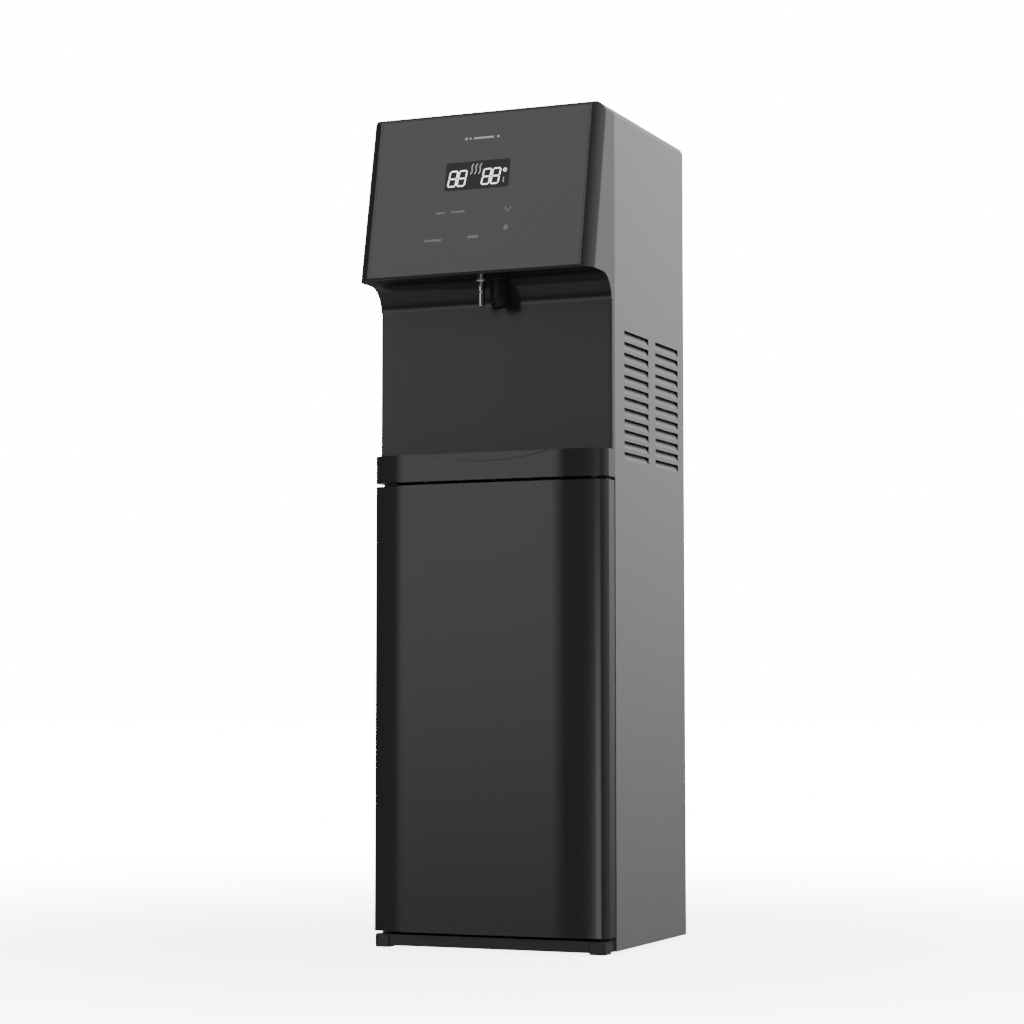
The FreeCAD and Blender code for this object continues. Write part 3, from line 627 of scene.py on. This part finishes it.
class DISPENSER_OT_outlet_collars(bpy.types.Operator):
    """Rounded collars where the two outlets leave the head"""

    bl_idname = "dispenser.outlet_collars"
    bl_label = "Outlet collars"

    def execute(self, context):
        for name, material, slot in (
            ("cold_spout", "chrome", "chrome"), ("hot_spout", "black_plastic", "black_plastic"),
        ):
            low, high = node_box(name)
            middle = (low + high) / 2
            bore = (high[0] - low[0]) / 2 + 0.25
            ring = [
                (bore, 0), (bore, -1.3), (bore + 0.5, -1.9), (bore + 1.6, -2.0), (bore + 2.6, -1.5),
                (bore + 3.1, -0.6), (bore + 3.2, 0),
            ]
            part = turned(ring[::-1], (middle[0], middle[1], HEAD_UNDERSIDE - 0.02))
            add_piece(name.replace("spout", "collar"), *part, material, slot, smooth=True)
        return {"FINISHED"}


class DISPENSER_OT_screws(bpy.types.Operator):
    """Cross-head screws that hold the back panel and the switch plate"""

    bl_idname = "dispenser.screws"
    bl_label = "Screws"

    def execute(self, context):
        back = node_box("back_panel")[1][1]
        places = [(x, z) for x in (-SIDE_SCREW_X, SIDE_SCREW_X) for z in SIDE_SCREW_HEIGHTS]
        places += [(x, z) for x in (-END_SCREW_X, END_SCREW_X) for z in END_SCREW_HEIGHTS]
        screws = [domed_screw(x, back, z) for x, z in places]
        add_piece("back_panel_screws", *joined(screws), "zinc_sheet", "zinc_sheet", smooth=True)
        low, high = node_box("switch_plate")
        z = (low[2] + high[2]) / 2
        corners = [domed_screw(x, high[1], z, 2.1, 1.0) for x in (low[0] + 3.6, high[0] - 3.6)]
        add_piece("switch_plate_screws", *joined(corners), "black_steel", "black_steel", smooth=True)
        return {"FINISHED"}


class DISPENSER_OT_rating_plate(bpy.types.Operator):
    """Blank rating plate on the back, with empty ruled fields"""

    bl_idname = "dispenser.rating_plate"
    bl_label = "Rating plate"

    def execute(self, context):
        back = node_box("back_panel")[1][1]

        def on_back(flat, proud):
            x, z = np.asarray(flat, float).T
            return np.stack([-x, back + proud + 0 * x, z], -1)

        label = bar(-20, 80, 420, 490, 3)
        rules = [bar(-14, 74, z, z + 0.7) for z in (432, 444, 456, 468)]
        rules += [bar(x, x + 0.7, 432, 468.7) for x in (-14, 26, 73.3)]
        add_piece("rating_plate", *plate(label, 0.35, on_back), "label_foil", "zinc_sheet")
        fields = joined([plate(rule, 0.05, on_back, lift=0.38) for rule in rules])
        add_piece("rating_plate_rules", *fields, "black_plastic", "black_plastic")
        return {"FINISHED"}


# ---------------------------------------------------------------- stage

def area_light(name, place, target, size, power):
    """A soft rectangular lamp at place, facing target, that polished surfaces don't mirror."""
    lamp = bpy.data.lights.new(name, "AREA")
    lamp.shape = "RECTANGLE"
    lamp.size, lamp.size_y = size
    lamp.energy = power
    light = bpy.data.objects.new(name, lamp)
    bpy.context.scene.collection.objects.link(light)
    towards = (np.array(target) - np.array(place)).tolist()
    light.visible_glossy = False
    light.location = place
    light.rotation_euler = Vector(towards).to_track_quat("-Z", "Y").to_euler()
    return light


def soft_window(tree, value, start, full, end=None, gone=None):
    """Rises smoothly from 0 at start to 1 at full, and falls from end to gone where they are given."""
    rise = add(tree, "ShaderNodeMapRange", interpolation_type="SMOOTHSTEP")
    rise.inputs["From Min"].default_value = start
    rise.inputs["From Max"].default_value = full
    tree.links.new(value, rise.inputs["Value"])
    if end is None:
        return rise.outputs["Result"]
    fall = add(tree, "ShaderNodeMapRange", interpolation_type="SMOOTHSTEP")
    fall.inputs["From Min"].default_value = gone
    fall.inputs["From Max"].default_value = end
    tree.links.new(value, fall.inputs["Value"])
    both = add(tree, "ShaderNodeMath", operation="MULTIPLY")
    tree.links.new(rise.outputs["Result"], both.inputs[0])
    tree.links.new(fall.outputs["Result"], both.inputs[1])
    return both.outputs[0]


# Softboxes of the studio: compass direction, half width and soft edge, the heights between which each
# one rises, stays full and falls, all in degrees, and its strength. Direction 0 is straight in front
# of the dispenser and 90 is to its right.
SOFTBOXES = (
    ("front left", -28, 7.7, 4, (-11, 5, 24, 30), 1.25),
    ("front left, high", -29, 13, 6, (24, 30, 46, 56), 1.7),
    ("front strip, low", 3, 2, 4, (-26, -14, -3, 9), 2.1),
    ("back right", 168, 22, 10, (-8, 9, 34, 55), 0.78),
    ("back left", -150, 20, 24, (-10, 5, 34, 55), 0.8),
    ("floor", 0, 180, 181, (-91, -90, -40, -12), 0.27),
    ("overhead", 100, 80, 100, (58, 76, 90, 91), 3.2),
)


# Area lamps, in metres: place, target, width and height, and power in watts
LAMPS = (
    ("upper_right_softbox", (1.25, 0.3, 1.95), (0.1, 0.1, 0.8), (0.9, 0.9), 46),
    ("right_fill", (1.7, 0.1, 0.85), (0.15, 0.0, 0.68), (0.9, 0.9), 7),
)


def studio_world(room):
    """White behind everything for the camera; for the rest, a dim room with soft boxes of light in it."""
    world = bpy.data.worlds.new("studio")
    bpy.context.scene.world = world
    world.use_nodes = True
    tree = world.node_tree
    tree.nodes.clear()
    links = tree.links
    place = add(tree, "ShaderNodeTexCoord")
    level = add(tree, "ShaderNodeVectorMath", operation="MULTIPLY")
    level.inputs[1].default_value = (1, 1, 0)
    compass = add(tree, "ShaderNodeVectorMath", operation="NORMALIZE")
    split = add(tree, "ShaderNodeSeparateXYZ")
    rise = add(tree, "ShaderNodeMath", operation="ARCSINE")
    links.new(place.outputs["Generated"], level.inputs[0])
    links.new(place.outputs["Generated"], split.inputs[0])
    links.new(level.outputs[0], compass.inputs[0])
    links.new(split.outputs["Z"], rise.inputs[0])
    total = None
    for name, direction, half_width, edge, heights, strength in SOFTBOXES:
        turn = math.radians(direction)
        towards = add(tree, "ShaderNodeVectorMath", operation="DOT_PRODUCT", label=name)
        towards.inputs[1].default_value = (math.sin(turn), -math.cos(turn), 0)
        away = add(tree, "ShaderNodeMath", operation="ARCCOSINE")
        links.new(compass.outputs[0], towards.inputs[0])
        links.new(towards.outputs["Value"], away.inputs[0])
        across = soft_window(tree, away.outputs[0], math.radians(half_width + edge), math.radians(half_width))
        low, full, end, gone = (math.radians(height) for height in heights)
        up = soft_window(tree, rise.outputs[0], low, full, end, gone)
        both = add(tree, "ShaderNodeMath", operation="MULTIPLY")
        lamp = add(tree, "ShaderNodeMath", operation="MULTIPLY_ADD")
        lamp.inputs[1].default_value = strength
        lamp.inputs[2].default_value = room
        links.new(across, both.inputs[0])
        links.new(up, both.inputs[1])
        links.new(both.outputs[0], lamp.inputs[0])
        if total is not None:
            links.new(total, lamp.inputs[2])
        total = lamp.outputs[0]
    seen = add(tree, "ShaderNodeBackground", Color=(1, 1, 1, 1), Strength=16.0)
    lit = add(tree, "ShaderNodeBackground", Color=(1, 1, 1, 1))
    path = add(tree, "ShaderNodeLightPath")
    mix = add(tree, "ShaderNodeMixShader")
    leave = add(tree, "ShaderNodeOutputWorld")
    links.new(total, lit.inputs["Strength"])
    links.new(path.outputs["Is Camera Ray"], mix.inputs[0])
    links.new(lit.outputs[0], mix.inputs[1])
    links.new(seen.outputs[0], mix.inputs[2])
    links.new(mix.outputs[0], leave.inputs["Surface"])


def floor_material():
    """Pale floor that brightens with distance, so that it runs into the white behind."""
    material = bpy.data.materials.new("pale_floor")
    tree = new_tree(material)
    place = add(tree, "ShaderNodeTexCoord")
    distance = add(tree, "ShaderNodeVectorMath", operation="LENGTH")
    glow = add(tree, "ShaderNodeMapRange", interpolation_type="SMOOTHSTEP")
    for name, value in (("From Min", 0.25), ("From Max", 2.2), ("To Min", 5.0), ("To Max", 16.0)):
        glow.inputs[name].default_value = value
    shader = add(tree, "ShaderNodeBsdfPrincipled", Roughness=0.8)
    shader.inputs["Base Color"].default_value = (0.9, 0.9, 0.9, 1)
    shader.inputs["Emission Color"].default_value = (1, 1, 1, 1)
    leave = add(tree, "ShaderNodeOutputMaterial")
    tree.links.new(place.outputs["Object"], distance.inputs[0])
    tree.links.new(distance.outputs["Value"], glow.inputs["Value"])
    tree.links.new(glow.outputs["Result"], shader.inputs["Emission Strength"])
    tree.links.new(shader.outputs[0], leave.inputs["Surface"])
    return material


def floor():
    """A wide pale disc whose rim is far outside the view: rings of points about the middle."""
    rings = np.array([0.5, 1.5, 4.0, 12.0, 40.0])
    turns = np.linspace(0, 2 * np.pi, 65)[:-1]
    radius, turn = np.meshgrid(rings, turns, indexing="ij")
    points = np.stack([radius * np.cos(turn), radius * np.sin(turn), np.zeros_like(turn)], -1).reshape(-1, 3)
    points = np.vstack([[0, 0, 0], points])
    count = len(turns)
    here = np.arange(count)
    after = (here + 1) % count
    hub = np.stack([np.zeros_like(here), 1 + here, 1 + after], -1)
    inner = 1 + count * np.arange(len(rings) - 1)[:, None]
    bands = np.stack([inner + here, inner + count + here, inner + count + after, inner + after], -1)
    mesh = bpy.data.meshes.new("floor")
    mesh.from_pydata(points.tolist(), [], hub.tolist() + bands.reshape(-1, 4).tolist())
    mesh.materials.append(floor_material())
    piece = bpy.data.objects.new("floor", mesh)
    bpy.context.scene.collection.objects.link(piece)
    piece.visible_glossy = False
    piece.visible_diffuse = False


class DISPENSER_OT_stage(bpy.types.Operator):
    """Set up the floor, the lights and the camera"""

    bl_idname = "dispenser.stage"
    bl_label = "Stage"

    def execute(self, context):
        settings = context.scene.dispenser_stage
        studio_world(settings.room_light)
        floor()
        for lamp in LAMPS:
            area_light(*lamp)
        lens = bpy.data.cameras.new("camera")
        lens.lens = settings.focal_length
        lens.sensor_width = 36.0
        camera = bpy.data.objects.new("camera", lens)
        context.scene.collection.objects.link(camera)
        camera.location = settings.camera_place
        camera.rotation_euler = (math.pi / 2 + settings.camera_tilt, 0, settings.camera_turn)
        context.scene.camera = camera
        return {"FINISHED"}


# ---------------------------------------------------------------- panel and registration

OPERATORS = (
    DISPENSER_OT_finishes, DISPENSER_OT_stage, DISPENSER_OT_display, DISPENSER_OT_touch_marks,
    DISPENSER_OT_head_mark, DISPENSER_OT_outlet_collars, DISPENSER_OT_screws, DISPENSER_OT_rating_plate,
)


class DISPENSER_PT_panel(bpy.types.Panel):
    """Lists the dispenser's pieces in the order they are built"""

    bl_idname = "DISPENSER_PT_panel"
    bl_label = "Water dispenser"
    bl_space_type = "VIEW_3D"
    bl_region_type = "UI"
    bl_category = "Dispenser"

    def draw(self, context):
        for operator in OPERATORS:
            self.layout.operator(operator.bl_idname)


GROUPS = {
    "dispenser_finish": DispenserFinish,
    "dispenser_display": DispenserDisplay,
    "dispenser_stage": DispenserStage,
}


def register():
    for name, group in GROUPS.items():
        bpy.utils.register_class(group)
        setattr(bpy.types.Scene, name, bpy.props.PointerProperty(type=group))
    for operator in OPERATORS:
        bpy.utils.register_class(operator)
    bpy.utils.register_class(DISPENSER_PT_panel)


def unregister():
    bpy.utils.unregister_class(DISPENSER_PT_panel)
    for operator in reversed(OPERATORS):
        bpy.utils.unregister_class(operator)
    for name, group in GROUPS.items():
        delattr(bpy.types.Scene, name)
        bpy.utils.unregister_class(group)


def main():
    register()
    for operator in OPERATORS:
        group, name = operator.bl_idname.split(".")
        getattr(getattr(bpy.ops, group), name)()


if __name__ == "__main__":
    main()
